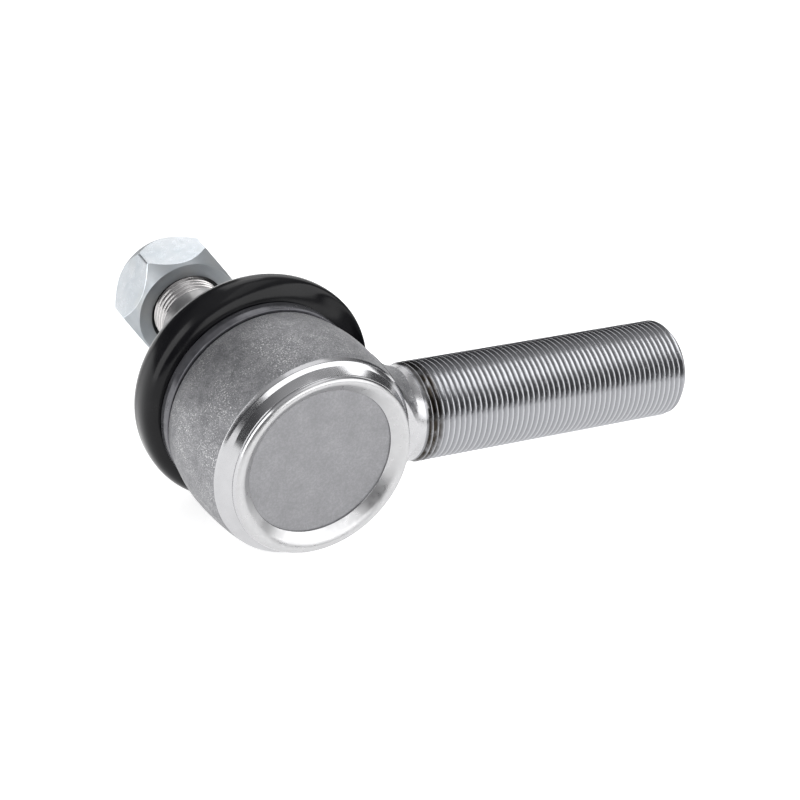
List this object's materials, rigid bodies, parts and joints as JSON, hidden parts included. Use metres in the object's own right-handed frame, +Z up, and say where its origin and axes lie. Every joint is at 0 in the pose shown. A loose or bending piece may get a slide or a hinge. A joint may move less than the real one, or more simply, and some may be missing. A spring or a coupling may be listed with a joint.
{
  "type": "tie rod end",
  "caption": "Outer tie rod end: forged housing with an externally threaded shank, and a tapered ball stud with hex nut under a rubber dust boot.",
  "frame": {"origin": "centre of the ball, where the shank's axis crosses the housing's bore axis", "axes": "+X along the shank to its free end, +Y along the housing's bore towards the stud and nut, +Z up"},
  "size_m": [0.1354, 0.0972, 0.0588],
  "materials": {
    "forged_steel": "raw forged, with a turned rim and a rolled thread",
    "plate_steel": "fine matt sheet",
    "spring_steel": "oiled",
    "bearing_plastic": "acetal",
    "ground_steel": "ground and rolled",
    "boot_rubber": "glossy black",
    "black_ring": "black, half gloss",
    "zinc": "bright zinc plate"
  },
  "bodies": {
    "housing_body": {"housing": "forged_steel", "cap_disc": "plate_steel", "disc_spring": "spring_steel", "lower_seat": "bearing_plastic", "upper_seat": "bearing_plastic", "boot_clamp_ring": "black_ring"},
    "boot_body": {"dust_boot": "boot_rubber"},
    "boot_lip_body": {"boot_lip_ring": "spring_steel"},
    "stud_body": {"ball_stud": "ground_steel", "hex_nut": "zinc"}
  },
  "joints": [
    {"name": "stud_swing", "type": "hinge", "parent": "housing_body", "child": "boot_body", "pos_m": [0, 0, 0], "axis": [0, 0, 1], "range_deg": [-11.8, 20.2], "deforming": ["dust_boot"]},
    {"name": "stud_tilt", "type": "hinge", "parent": "boot_body", "child": "boot_lip_body", "pos_m": [0, 0, 0], "axis": [0.9973, -0.0732, 0], "range_deg": [-16, 16]},
    {"name": "stud_spin", "type": "hinge", "parent": "boot_lip_body", "child": "stud_body", "pos_m": [0, 0, 0], "axis": [0.0732, 0.9973, 0], "continuous": true}
  ]
}
